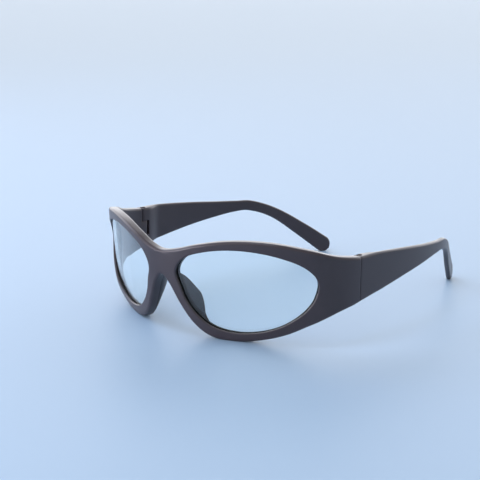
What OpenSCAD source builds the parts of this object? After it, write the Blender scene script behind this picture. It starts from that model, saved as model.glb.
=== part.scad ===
// Laser safety glasses with a wrap-round moulded front that carries two clear filter lenses,
// two bonded nose pads, and two temples that fold on screwed tongue and fork hinges.
// They stand on the rims and on the temple tips. The wearer's left is at +X, and the front
// faces -Y. Lengths are in millimetres.
//
// The shape is drawn on a curved sheet, as a card bent round the face. A place on it is s, the
// way along the bend from the bridge, z, the height, and d, the depth in from the outer face.
// The origin is under the middle of the part, on the surface that it stands on.

/* [Front] */
// Width of a lens opening, along the bend
eye_w = 58; // [54:1:62]
// Height of a lens opening
eye_h = 35.2; // [32:0.4:38]
// Gap between the two lens openings
bridge_gap = 18; // [16:1:21]
// Height of the bridge
bridge_h = 11; // [10:0.2:13]
// Width of the rim round a lens
rim_w = 4; // [3.4:0.1:5]
// Depth of the rim, front to back
rim_d = 4.5; // [4.2:0.1:5.5]
// Length of an end piece, from the lens opening to its hinge end
end_len = 21.6; // [18:0.4:24]
// How far the top of the front leans forward, in degrees
lean = 9; // [4:1:14]
// Radius of the front as it is seen from the side
face_r = 220; // [120:10:300]
// Radius on the outer edges of the front and the temples
edge_r = 1.2; // [0.8:0.1:1.4]

/* [Lenses] */
// Thickness of a lens
lens_t = 2; // [1.6:0.1:2.2]
// How far the outer face of a lens lies behind the outer face of the rim
lens_in = 1.2; // [1:0.1:1.4]
// Depth of the groove that holds a lens
groove_d = 1.2; // [0.8:0.1:1.5]
// Clearance round a lens in its groove
lens_gap = 0.1; // [0.05:0.01:0.2]

/* [Nose pads] */
// How far a pad stands behind the rim
pad_reach = 5.8; // [4:0.2:7]
// How far the free edge of a pad flares away from the nose
pad_flare = 5.4; // [3:0.2:6]
// Width of the strip by which a pad is bonded to the rim
pad_root = 2.8; // [2:0.1:3]
// Thickness of the bond behind the rim
bond_t = 0.05; // [0.02:0.01:0.1]

/* [Temples] */
// Length from the hinge pin to the bend
arm_len = 62; // [52:1:68]
// Length from the bend to the centre of the round tip
tip_len = 52; // [46:1:60]
// Height of a temple at its hinge
hinge_h = 19; // [17:0.2:20]
// Height of a temple at its bend
bend_h = 5.8; // [4.6:0.2:6.6]
// Thickness of a temple
arm_d = 2.4; // [2.2:0.1:3.4]
// Radius of the round tip
tip_r = 4.2; // [3.6:0.1:4.8]
// Slope of the tip, in degrees
tip_drop = 35; // [28:0.5:38]

/* [Hinges] */
// Depth of the hinge pin behind the outer face
pin_in = 3; // [2.8:0.1:4.2]
// Radius of the round end of the tongue and the fork
knuckle_r = 2; // [1.9:0.1:2.4]
// Height of the tongue on the front
tongue_h = 6.6; // [5:0.2:8]
// Clearance above and below the tongue
tongue_gap = 0.15; // [0.1:0.05:0.3]
// Clearance between the end of a temple and its end piece
seam_gap = 0.15; // [0.1:0.05:0.3]
// Clearance round the tongue in its pocket
pocket_gap = 0.3; // [0.2:0.05:0.4]

/* [Screws] */
// Radius of a screw's shank
screw_r = 0.7; // [0.6:0.05:0.8]
// Radius of a screw's head
head_r = 1.25; // [1.1:0.05:1.4]
// Height of a screw's head
head_t = 1; // [0.8:0.1:1.2]
// How far a screw's head lies below the top of its temple
head_sunk = 0.6; // [0.3:0.1:1]
// Outer radius of a threaded insert
insert_r = 1.2; // [1.1:0.05:1.4]
// Length of a threaded insert
insert_len = 3.4; // [2.6:0.2:3.8]
// Running clearance of a shank in the tongue
shank_gap = 0.05; // [0.03:0.01:0.08]
// Clearance of a shank in the upper arm of the fork, and of a head in its recess
fork_gap = 0.1; // [0.05:0.05:0.2]
// Gap under a screw's head
seat_gap = 0.05; // [0.02:0.01:0.1]
// Clearance between an insert and its hole, and between a shank and its insert
insert_gap = 0.02; // [0.01:0.01:0.04]

/* [Rest] */
// Depth of the flats that the rims and the tips stand on
rest_cut = 0.25; // [0.2:0.05:0.4]

/* [Hidden] */
$fn = 48;

left = 1;
right = -1;
frame_colour = [0.27, 0.25, 0.25];
pad_colour = [0.22, 0.21, 0.21];
lens_colour = [0.75, 0.87, 0.93, 0.4];
big = 40;

// Places along the bend: the middle of the lens, the hinge end of the front, and the pin
eye_s = bridge_gap / 2 + eye_w / 2;
seam_s = bridge_gap / 2 + eye_w + end_len;
pin_run = knuckle_r + pocket_gap;
pin_s = seam_s + pin_run;
bend_s = pin_s + arm_len;
tip_s = bend_s + tip_len;
// Heights: the middle of the lens, the bridge, the hinge, the tip
eye_z = rim_w + eye_h / 2 - rest_cut;
bridge_low = eye_z + 3.4;
hinge_z = eye_z + 5.1;
tip_z = tip_r - rest_cut;
hinge_d = pin_in + knuckle_r;

// How the sheet turns: the heading in degrees at each place along it
turns = [[0, 0], [bridge_gap * 0.67, 13.6], [eye_s - eye_w * 0.14, 23.4],
    [eye_s + eye_w * 0.2, 28.5], [eye_s + eye_w * 0.48, 45.5], [seam_s - end_len * 0.43, 75.5],
    [seam_s - end_len * 0.02, 90], [pin_s + arm_len * 0.08, 90], [pin_s + arm_len * 0.5, 93.5],
    [bend_s, 102], [bend_s + tip_len * 0.45, 119], [tip_s + 2 * tip_r, 114]];
walk_step = 1;
walk = [for (i = 0, p = [0, 0]; i * walk_step <= tip_s + 2 * tip_r;
        i = i + 1,
        h = lookup((i - 0.5) * walk_step, turns),
        p = p + walk_step * [cos(h), sin(h)]) [i * walk_step, p.x, p.y]];
walk_x = [for (w = walk) [w[0], w[1]]];
walk_y = [for (w = walk) [w[0], w[2]]];

// The face leans and curves as seen from the side, and this fades out along the end pieces
lean_z = 20;
lean_run = 40;

function clip(v, low, high) = min(max(v, low), high);
function ease(f) = let (c = clip(f, 0, 1)) c * c * (3 - 2 * c);
function mix(a, b, f) = a + (b - a) * f;
function lean_at(z) = pow(z - lean_z, 2) / (2 * face_r) - (z - lean_z) * tan(lean);

// A place on the sheet as seen from above, and the middle between the bridge and the tip's end
function plan(s, d) =
    let (h = lookup(s, turns)) [lookup(s, walk_x) - d * sin(h), lookup(s, walk_y) + d * cos(h)];
mid_y = (lean_at(bridge_low + bridge_h - edge_r) + plan(tip_s + tip_r, edge_r).y) / 2;

// A place on the sheet as a point in space
function at(s, z, d) =
    let (p = plan(s, d)) [p.x, p.y + ease((pin_s - s) / lean_run) * lean_at(z) - mid_y, z];

// A smooth curve through the rows of a table, column c against column 0
function row_of(t, x, i = 0) = i >= len(t) - 2 || x < t[i + 1][0] ? i : row_of(t, x, i + 1);
function tangent(t, i, c) =
    let (a = t[max(i - 1, 0)], b = t[min(i + 1, len(t) - 1)]) (b[c] - a[c]) / (b[0] - a[0]);
function smooth(t, x, c = 1) =
    let (
        v = clip(x, t[0][0], t[len(t) - 1][0]),
        i = row_of(t, v),
        w = t[i + 1][0] - t[i][0],
        f = (v - t[i][0]) / w
    )
    (1 + 2 * f) * pow(1 - f, 2) * t[i][c] + f * pow(1 - f, 2) * w * tangent(t, i, c)
    + f * f * (3 - 2 * f) * t[i + 1][c] + f * f * (f - 1) * w * tangent(t, i + 1, c);

// Outline of a lens opening: its reach against an ellipse of the same width and height
eye_reach = [[-20, 0.92], [0, 1.005], [20, 1.11], [40, 1.12], [60, 1.07], [80, 1.03],
    [100, 1.03], [120, 1.065], [140, 1.125], [160, 1.095], [180, 0.975], [200, 0.96], [220, 1],
    [240, 1.055], [260, 1.015], [280, 0.94], [300, 0.885], [320, 0.875], [340, 0.92],
    [360, 1.005], [380, 1.11]];
function turn_of(s, z) =
    let (a = atan2((z - eye_z) / eye_h, (s - eye_s) / eye_w)) a < 0 ? a + 360 : a;
function spoke(a) = [eye_w / 2 * cos(a), eye_h / 2 * sin(a)];
// The edge of the opening at turn a, moved outward by out
function eye_at(a, out = 0) =
    let (u = spoke(a)) [eye_s, eye_z] + u * (smooth(eye_reach, a) + out / norm(u));

// The upper and lower outlines of the front, as heights along the bend. Beside the lens they
// follow shares of its half width and half height, one rim outside it. Each starts beyond the
// bridge's middle line, so that it is level there.
function rim_row(u, v) = [eye_s + u * eye_w / 2, eye_z + v * eye_h / 2 + sign(v) * rim_w];
brow = [[-bridge_gap * 0.45, bridge_low + bridge_h + 1.35], [0, bridge_low + bridge_h],
    [bridge_gap * 0.45, bridge_low + bridge_h + 1.35],
    rim_row(-0.69, 0.83), rim_row(-0.28, 0.97), rim_row(0.14, 1.025), rim_row(0.55, 1),
    rim_row(0.97, 0.87), [seam_s - end_len * 0.53, hinge_z + hinge_h / 2 + 1.8],
    [seam_s, hinge_z + hinge_h / 2]];
low = [[-bridge_gap * 0.22, bridge_low - 3.5], [0, bridge_low],
    [bridge_gap * 0.22, bridge_low - 3.5],
    [bridge_gap * 0.45, bridge_low - 11], rim_row(-0.86, -0.63), rim_row(-0.655, -0.905),
    rim_row(-0.41, -1), rim_row(-0.14, -0.99), rim_row(0.21, -0.885), rim_row(0.55, -0.705),
    rim_row(0.9, -0.45), [seam_s - end_len * 0.53, hinge_z - hinge_h / 2 - 2.4],
    [seam_s, hinge_z - hinge_h / 2]];

// Rounding of an outer edge: quarter circle steps, and the depth it takes at distance e
arc_n = 3;
function arc_in(i) = edge_r * (1 - cos(90 * i / arc_n));
function arc_down(i) = edge_r * (1 - sin(90 * i / arc_n));
function arc_depth(e) =
    e >= edge_r ? 0 : edge_r - sqrt(pow(edge_r, 2) - pow(edge_r - max(e, 0), 2));

// How far a place on the front lies inside the upper and lower outlines
function slope_of(t, s) = (smooth(t, s + 0.1) - smooth(t, s - 0.1)) / 0.2;
function inside(t, s, z) = abs(smooth(t, s) - z) / sqrt(1 + pow(slope_of(t, s), 2));
function edge_depth(s, z) = arc_depth(min(inside(brow, s, z), inside(low, s, z)));

// Thickness of the front, which grows towards the hinge
function front_d(s) = mix(rim_d, hinge_d, ease((s - seam_s) / (end_len * 0.7) + 1.4));

// Stations round one half of the front, from the top of the hinge end to the bridge and back
brow_n = 27;
low_n = 34;
bridge_n = 3;
end_n = 4;
function side_z(a, b, n) = concat(
    [for (i = [1 : arc_n]) a + sign(b - a) * arc_in(i)],
    [for (i = [1 : n - 1]) mix(a + sign(b - a) * edge_r, b - sign(b - a) * edge_r, i / n)],
    [for (i = [arc_n : -1 : 1]) b - sign(b - a) * arc_in(i)]);
function along(t, s) = let (g = slope_of(t, s)) [1, g] / sqrt(1 + g * g);
upright = [0, 1];
// Each station is a place and the outline's direction there
rim_loop = concat(
    [for (i = [0 : brow_n]) let (s = seam_s * (1 - i / brow_n))
        [[s, smooth(brow, s)], along(brow, s)]],
    [for (z = side_z(smooth(brow, 0), smooth(low, 0), bridge_n)) [[0, z], upright]],
    [for (i = [0 : low_n]) let (s = seam_s * pow(i / low_n, 1.5))
        [[s, smooth(low, s)], along(low, s)]],
    [for (z = side_z(smooth(low, seam_s), smooth(brow, seam_s), end_n)) [[seam_s, z], upright]]);
bridge_first = brow_n;
bridge_last = brow_n + 1 + len(side_z(0, big, bridge_n));

// One section of the front: from the outer edge in along the front face, round the groove, and
// out along the back face. Each place is on the line from the station to the lens's middle,
// which crosses the rounded edge at a slant.
lip_r = 0.5;
face_n = 4;
least_slant = 0.2;
edge_share = 0.45;
groove_low = lens_in - lens_gap;
groove_high = lens_in + lens_t + lens_gap;
function face_row(p, back) =
    let (e = edge_depth(p.x, p.y)) [p.x, p.y, back ? front_d(p.x) - e : e];
function section(station) =
    let (
        q = station[0],
        a = turn_of(q.x, q.y),
        lip = eye_at(a, lip_r),
        run = norm(q - lip),
        way = (lip - q) / run,
        slant = max(abs(cross(way, station[1])), least_slant),
        edge = [for (i = [0 : arc_n])
            q + way * min(arc_in(i) / slant, run * edge_share * i / arc_n)],
        face = concat(edge, [for (i = [1 : face_n]) mix(edge[arc_n], lip, i / face_n)]),
        eye = eye_at(a),
        deep = eye_at(a, groove_d)
    )
    concat(
        [for (p = face) face_row(p, false)],
        [[eye.x, eye.y, lip_r], [eye.x, eye.y, groove_low], [deep.x, deep.y, groove_low],
            [deep.x, deep.y, groove_high], [eye.x, eye.y, groove_high],
            [eye.x, eye.y, front_d(eye.x) - lip_r]],
        [for (i = [len(face) - 1 : -1 : 0]) face_row(face[i], true)]);

// A closed tube of faces through n rings of k points each, and the flat caps on its ends
function quad(a, b, c, d) = [[a, b, c], [a, c, d]];
function tube_faces(n, k) = [for (j = [0 : n - 2], i = [0 : k - 1])
    each quad(j * k + i, j * k + (i + 1) % k, (j + 1) * k + (i + 1) % k, (j + 1) * k + i)];
function cap_faces(n, k) =
    [[for (i = [k - 1 : -1 : 0]) i], [for (i = [0 : k - 1]) (n - 1) * k + i]];

module on_side(side) {
    if (side == left) children();
    else mirror([1, 0, 0]) children();
}

// The two halves of the front share the points on the bridge's middle line
module front_shell() {
    rows = [for (q = rim_loop) section(q)];
    n = len(rows);
    k = len(rows[0]);
    places = [for (row = rows) for (p = row) at(p.x, p.y, p.z)];
    mirrored = [for (p = places) [-p.x, p.y, p.z]];
    function middle(j) = j >= bridge_first && j <= bridge_last;
    function index(half, j, i) = half * n * k
        * (middle(j % n) && (i == 0 || i == k - 1) ? 0 : 1) + (j % n) * k + i;
    function wall(half, j, i) = let (
            a = index(half, j, i),
            b = index(half, j, (i + 1) % k),
            c = index(half, j + 1, (i + 1) % k),
            d = index(half, j + 1, i))
        half == 0 ? quad(a, b, c, d) : quad(a, d, c, b);
    polyhedron(
        points = concat(places, mirrored),
        faces = [for (half = [0, 1], j = [0 : n - 1], i = [0 : k - 1])
            if (!(i == k - 1 && middle(j) && middle(j + 1))) each wall(half, j, i)],
        convexity = 10);
}

// The hinge pin's place, and the heights of the parts of the hinge
pin = at(pin_s, hinge_z, pin_in);
seam_y = pin.y - pin_run;
tongue_z = hinge_z - tongue_h / 2;
seat_z = hinge_z + hinge_h / 2 - head_sunk - head_t - seat_gap;
insert_z = tongue_z - tongue_gap - insert_len;

module at_pin() {
    translate([pin.x, pin.y, 0]) children();
}

module tongue() {
    root = 1.5;
    translate([0, 0, tongue_z]) difference() {
        at_pin() union() {
            cylinder(r = knuckle_r, h = tongue_h);
            translate([-knuckle_r, -pin_run - root, 0]) cube([2 * knuckle_r, pin_run + root, tongue_h]);
        }
        at_pin() translate([0, 0, -1]) cylinder(r = screw_r + shank_gap, h = tongue_h + 2);
    }
}

module below_floor() {
    translate([-4 * big, -4 * big, -big]) cube([8 * big, 8 * big, big]);
}

module front_frame() {
    color(frame_colour) union() {
        difference() {
            front_shell();
            below_floor();
        }
        for (side = [left, right]) on_side(side) tongue();
    }
}

// A lens: rings of places round its middle on both faces, and a bevelled edge in the groove
module lens(side) {
    spokes = 60;
    rings = [0.2, 0.45, 0.7, 0.88];
    bevel = 0.35;
    out = groove_d - lens_gap;
    near = lens_in;
    far = lens_in + lens_t;
    function rim_place(i, in) = eye_at(360 * i / spokes, out - in);
    function ring(f, d) = [for (i = [0 : spokes - 1])
        let (p = mix([eye_s, eye_z], rim_place(i, bevel), f)) at(p.x, p.y, d)];
    rows = concat(
        [for (f = rings) ring(f, near)],
        [ring(1, near)],
        [[for (i = [0 : spokes - 1]) let (p = rim_place(i, 0)) at(p.x, p.y, near + bevel)]],
        [[for (i = [0 : spokes - 1]) let (p = rim_place(i, 0)) at(p.x, p.y, far - bevel)]],
        [ring(1, far)],
        [for (i = [len(rings) - 1 : -1 : 0]) ring(rings[i], far)]);
    n = len(rows);
    last = n * spokes;
    color(lens_colour) on_side(side) polyhedron(
        points = concat([for (row = rows) each row], [at(eye_s, eye_z, near), at(eye_s, eye_z, far)]),
        faces = concat(
            [for (f = tube_faces(n, spokes)) [f[2], f[1], f[0]]],
            [for (i = [0 : spokes - 1]) [last, i, (i + 1) % spokes]],
            [for (i = [0 : spokes - 1])
                [last + 1, (n - 1) * spokes + (i + 1) % spokes, (n - 1) * spokes + i]]),
        convexity = 6);
}

// A nose pad: a flange along the nose side of the rim, bonded to its back face. Columns are the
// share of the way down, and the shares of the root, the reach and the flare there.
pad_form = [[0, 0.6, 0.4, 0.1], [0.08, 0.85, 0.67, 0.32], [0.17, 1, 0.86, 0.55],
    [0.26, 1, 0.99, 0.8], [0.34, 1, 1, 1], [0.42, 1, 0.85, 1], [0.5, 1, 0.64, 0.9],
    [0.58, 1, 0.46, 0.73], [0.68, 1, 0.34, 0.56], [0.78, 0.95, 0.27, 0.44],
    [0.88, 0.85, 0.2, 0.32], [1, 0.45, 0.05, 0.05]];
pad_n = 24;
pad_start = 0.02;
// The outline of a section, as shares of the root, the flare and the reach: from the nose side
// round the free edge, and back along the rim
pad_outline = [[0, 0, 0], [0, 0.01, 0.14], [0.01, 0.1, 0.36], [0.03, 0.3, 0.6],
    [0.08, 0.56, 0.82], [0.18, 0.84, 0.96], [0.34, 1, 1], [0.47, 0.98, 0.94],
    [0.52, 0.82, 0.83], [0.54, 0.55, 0.68], [0.6, 0.3, 0.47], [0.72, 0.1, 0.25],
    [0.88, 0.01, 0.08], [1, 0, 0], [0.75, 0, 0], [0.5, 0, 0], [0.3, 0, 0], [0.14, 0, 0]];
function pad_ring(f) =
    let (
        s = mix(bridge_gap * 0.05, bridge_gap * 1.2, f),
        way = along(low, s),
        across = [-way.y, way.x],
        here = [s, smooth(low, s)] + pad_start * across,
        wide = pad_root * smooth(pad_form, f, 1),
        reach = pad_reach * smooth(pad_form, f, 2),
        flare = pad_flare * smooth(pad_form, f, 3)
    )
    [for (o = pad_outline)
        let (
            root = here + across * o[0] * wide,
            p = root + across * o[1] * flare,
            base = front_d(root.x) - edge_depth(root.x, root.y) + bond_t
        )
        at(p.x, p.y, base + o[2] * reach)];

module nose_pad(side) {
    rings = [for (i = [0 : pad_n]) pad_ring(i / pad_n)];
    k = len(pad_outline);
    color(pad_colour) on_side(side) polyhedron(
        points = [for (ring = rings) each ring],
        faces = concat(tube_faces(pad_n + 1, k), cap_faces(pad_n + 1, k)),
        convexity = 6);
}

// A temple along the bend: the height of its middle, half its height, and its tilt in degrees
function tip_line(s) = tip_z + (tip_s - s) * tan(tip_drop);
temple_rows = [
    [seam_s, hinge_z, hinge_h / 2, 0],
    [pin_s + arm_len * 0.17, hinge_z + 0.95, hinge_h / 2 - 1.1, 0],
    [pin_s + arm_len * 0.5, hinge_z + 1.6, mix(hinge_h, bend_h, 0.53) / 2, 0],
    [pin_s + arm_len * 0.8, hinge_z + 1.7, mix(hinge_h, bend_h, 0.84) / 2, -0.1 * tip_drop],
    [bend_s, hinge_z + 1.7, bend_h / 2, -0.4 * tip_drop],
    [bend_s + tip_len * 0.185, tip_line(bend_s + tip_len * 0.185) - 6, bend_h / 2 - 0.2,
        -0.7 * tip_drop],
    [bend_s + tip_len * 0.46, tip_line(bend_s + tip_len * 0.46) - 1, bend_h / 2 - 0.1,
        -tip_drop],
    [bend_s + tip_len * 0.78, tip_line(bend_s + tip_len * 0.78), tip_r - 0.5, -tip_drop],
    [tip_s, tip_z, tip_r, -tip_drop]];
neck_s = seam_s + arm_len * 0.24;
curve_s = bend_s - arm_len * 0.17;
slope_s = bend_s + tip_len * 0.45;
temple_s = concat(
    [for (i = [0 : 8]) mix(seam_s, neck_s, i / 8)],
    [for (i = [1 : 9]) mix(neck_s, curve_s, i / 9)],
    [for (i = [1 : 12]) mix(curve_s, slope_s, i / 12)],
    [for (i = [1 : 5]) mix(slope_s, tip_s, i / 5)]);
tip_turns = [15, 30, 45, 60, 75, 86];
function temple_d(s) = mix(hinge_d, arm_d, ease((s - pin_s - knuckle_r) / (arm_len * 0.15)));

// One ring of a temple: a rounded rectangle, half its height h, between depths 0 and thick
function temple_ring(s, z, h, tilt, thick) =
    let (
        k = min(1, 0.42 * thick / edge_r),
        k_up = min(k, 0.98 * h / edge_r),
        quarter = [for (i = [0 : arc_n]) [arc_in(i) * k_up, arc_down(i) * k]],
        half = concat(
            [for (q = quarter) [h - q.x, q.y]],
            [for (i = [arc_n : -1 : 0]) [-h + quarter[i].x, quarter[i].y]]),
        loop = concat(half, [for (i = [len(half) - 1 : -1 : 0]) [half[i].x, thick - half[i].y]])
    )
    [for (p = loop) at(s - p.x * sin(tilt), z + p.x * cos(tilt), p.y)];

module temple_bar() {
    rings = concat(
        [for (s = temple_s) temple_ring(s, smooth(temple_rows, s, 1), smooth(temple_rows, s, 2),
            smooth(temple_rows, s, 3), temple_d(s))],
        [for (a = tip_turns) temple_ring(
            tip_s + tip_r * sin(a) * cos(tip_drop), tip_z - tip_r * sin(a) * sin(tip_drop),
            tip_r * cos(a), -tip_drop, arm_d)]);
    n = len(rings);
    k = len(rings[0]);
    polyhedron(
        points = [for (ring = rings) each ring],
        faces = concat(tube_faces(n, k), cap_faces(n, k)),
        convexity = 6);
}

// Room for the tongue: round the pin, towards the end piece, and towards the head
module tongue_pocket() {
    pocket_r = knuckle_r + pocket_gap;
    translate([0, 0, tongue_z - tongue_gap]) at_pin() {
        tall = tongue_h + 2 * tongue_gap;
        cylinder(r = pocket_r, h = tall);
        translate([-big, -big, 0]) cube([big + pocket_r, big, tall]);
        translate([-big, -1, 0]) cube([big, pocket_r + 1, tall]);
    }
}

// The inner front corner of the fork is round, so that it clears the end piece as it turns
module fork_corner() {
    at_pin() difference() {
        translate([-big, -big, 0]) cube([big, big, 2 * big]);
        translate([0, 0, -1]) cylinder(r = knuckle_r, h = 2 * big + 2);
    }
}

module temple(side) {
    color(frame_colour) on_side(side) difference() {
        temple_bar();
        translate([0, seam_y + seam_gap - big, -big]) cube([4 * big, big, 3 * big]);
        fork_corner();
        tongue_pocket();
        at_pin() {
            translate([0, 0, hinge_z]) cylinder(r = screw_r + fork_gap, h = big);
            translate([0, 0, seat_z]) cylinder(r = head_r + fork_gap, h = big);
            translate([0, 0, insert_z]) cylinder(r = insert_r + insert_gap, h = insert_len + 1);
        }
        below_floor();
    }
}

module hinge_insert(side) {
    color([0.78, 0.65, 0.36]) on_side(side) at_pin() translate([0, 0, insert_z]) difference() {
        cylinder(r = insert_r, h = insert_len);
        translate([0, 0, -1]) cylinder(r = screw_r + insert_gap, h = insert_len + 2);
    }
}

module hinge_screw(side) {
    slot_w = 0.4;
    slot_d = 0.5;
    foot = insert_z + 0.3;
    head_z = seat_z + seat_gap;
    color([0.7, 0.71, 0.73]) on_side(side) at_pin() difference() {
        union() {
            translate([0, 0, foot]) cylinder(r = screw_r, h = head_z + head_t / 2 - foot);
            translate([0, 0, head_z]) cylinder(r = head_r, h = head_t);
        }
        translate([-big / 2, -slot_w / 2, head_z + head_t - slot_d]) cube([big, slot_w, big]);
    }
}

front_frame();
lens(left);  // lens_left
lens(right);  // lens_right
nose_pad(left);  // nose_pad_left
nose_pad(right);  // nose_pad_right
temple(left);  // temple_left
temple(right);  // temple_right
hinge_insert(left);  // hinge_insert_left
hinge_insert(right);  // hinge_insert_right
hinge_screw(left);  // hinge_screw_left
hinge_screw(right);  // hinge_screw_right
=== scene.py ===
"""Wrap-round laser safety glasses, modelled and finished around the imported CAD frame.

The forms are drawn on a curved sheet, as a card bent round the face. A place on it is s, the way
along the bend from the bridge, z, the height, and d, the depth in from the outer face. Sizes are
in millimetres and are turned to metres as each mesh is made.
"""
import logging
import math
from dataclasses import dataclass, field
from enum import Enum

import bmesh
import bpy
from mathutils import Matrix, Vector


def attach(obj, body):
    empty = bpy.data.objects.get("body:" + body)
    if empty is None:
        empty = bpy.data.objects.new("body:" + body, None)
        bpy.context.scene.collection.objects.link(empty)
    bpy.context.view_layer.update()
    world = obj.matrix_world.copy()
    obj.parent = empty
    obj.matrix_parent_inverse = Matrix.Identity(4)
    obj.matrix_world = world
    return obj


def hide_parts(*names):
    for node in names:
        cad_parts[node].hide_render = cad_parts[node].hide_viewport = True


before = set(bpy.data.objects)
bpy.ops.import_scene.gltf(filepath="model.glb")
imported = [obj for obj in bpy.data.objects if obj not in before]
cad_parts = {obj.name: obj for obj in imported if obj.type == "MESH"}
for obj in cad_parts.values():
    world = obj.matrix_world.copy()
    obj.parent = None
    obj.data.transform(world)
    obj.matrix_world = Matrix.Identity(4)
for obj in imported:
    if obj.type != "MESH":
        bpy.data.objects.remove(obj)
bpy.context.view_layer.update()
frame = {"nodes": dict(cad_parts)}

LOG = logging.getLogger("glasses")
MM = 0.001
# The mesh's mark for the walls round a lens, which the nylon's look reads to paint shade there and
# turn them matt
SEAT_SHADE_MARK = "lens_seat_painted_shade"
# Points closer together than this become one
MERGE_MM = 0.002
# An edge that turns by more degrees than this is drawn sharp, unless a piece says otherwise
SHARP = 38.0
Point = tuple[float, ...]
Faces = list[tuple[int, ...]]


class Side(Enum):
    """The wearer's two sides: the left is at +X."""

    LEFT = 1
    RIGHT = -1

    @property
    def word(self) -> str:
        """The side's word in node and body names."""
        return self.name.lower()


def clip(value: float, low: float, high: float) -> float:
    """Hold a value between two limits."""
    return min(max(value, low), high)


def mix(a: float, b: float, share: float) -> float:
    """Go a share of the way from a to b."""
    return a + (b - a) * share


def ease(share: float) -> float:
    """Turn a share from 0 to 1 into one that starts and ends gently."""
    held = clip(share, 0.0, 1.0)
    return held * held * (3 - 2 * held)


def between(a: Point, b: Point, share: float) -> Point:
    """Go a share of the way from one place to another."""
    return tuple(mix(p, q, share) for p, q in zip(a, b))


@dataclass(frozen=True)
class Spline:
    """A smooth curve through rows of a place and its values."""

    rows: tuple[Point, ...]
    step: float = 0.1

    def tangent(self, i: int, column: int) -> float:
        """The slope at row i."""
        before, after = self.rows[max(i - 1, 0)], self.rows[min(i + 1, len(self.rows) - 1)]
        return (after[column] - before[column]) / (after[0] - before[0])

    def at(self, place: float, column: int = 1) -> float:
        """The curve's value.

        Args:
            place: where to read the curve, in the first column's unit.
            column: which of the row's values to read.

        Returns:
            The value of the smooth curve there.
        """
        rows = self.rows
        x = clip(place, rows[0][0], rows[-1][0])
        i = 0
        while i < len(rows) - 2 and x >= rows[i + 1][0]:
            i += 1
        width = rows[i + 1][0] - rows[i][0]
        f = (x - rows[i][0]) / width
        return (
            (1 + 2 * f) * (1 - f) ** 2 * rows[i][column]
            + f * (1 - f) ** 2 * width * self.tangent(i, column)
            + f * f * (3 - 2 * f) * rows[i + 1][column]
            + f * f * (f - 1) * width * self.tangent(i + 1, column)
        )

    def slope(self, place: float, column: int = 1) -> float:
        """The curve's slope, measured over a short step."""
        rise = self.at(place + self.step, column) - self.at(place - self.step, column)
        return rise / (2 * self.step)


def lookup(x: float, rows: list[Point]) -> float:
    """Read a table of places and values, in straight lines between its rows.

    Args:
        x: where to read it.
        rows: the table, with rising places.

    Returns:
        The value there, which is held beyond both ends.
    """
    if x <= rows[0][0]:
        return rows[0][1]
    for a, b in zip(rows, rows[1:]):
        if x <= b[0]:
            return mix(a[1], b[1], (x - a[0]) / (b[0] - a[0]))
    return rows[-1][1]


def arc_depth(distance: float, radius: float) -> float:
    """Work out how deep a rounded edge lies behind the face beside it.

    Args:
        distance: how far in from the edge.
        radius: the rounding's radius.

    Returns:
        The depth there, which is nothing beyond the rounding.
    """
    if distance >= radius:
        return 0.0
    return radius - math.sqrt(radius ** 2 - (radius - max(distance, 0.0)) ** 2)


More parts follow.
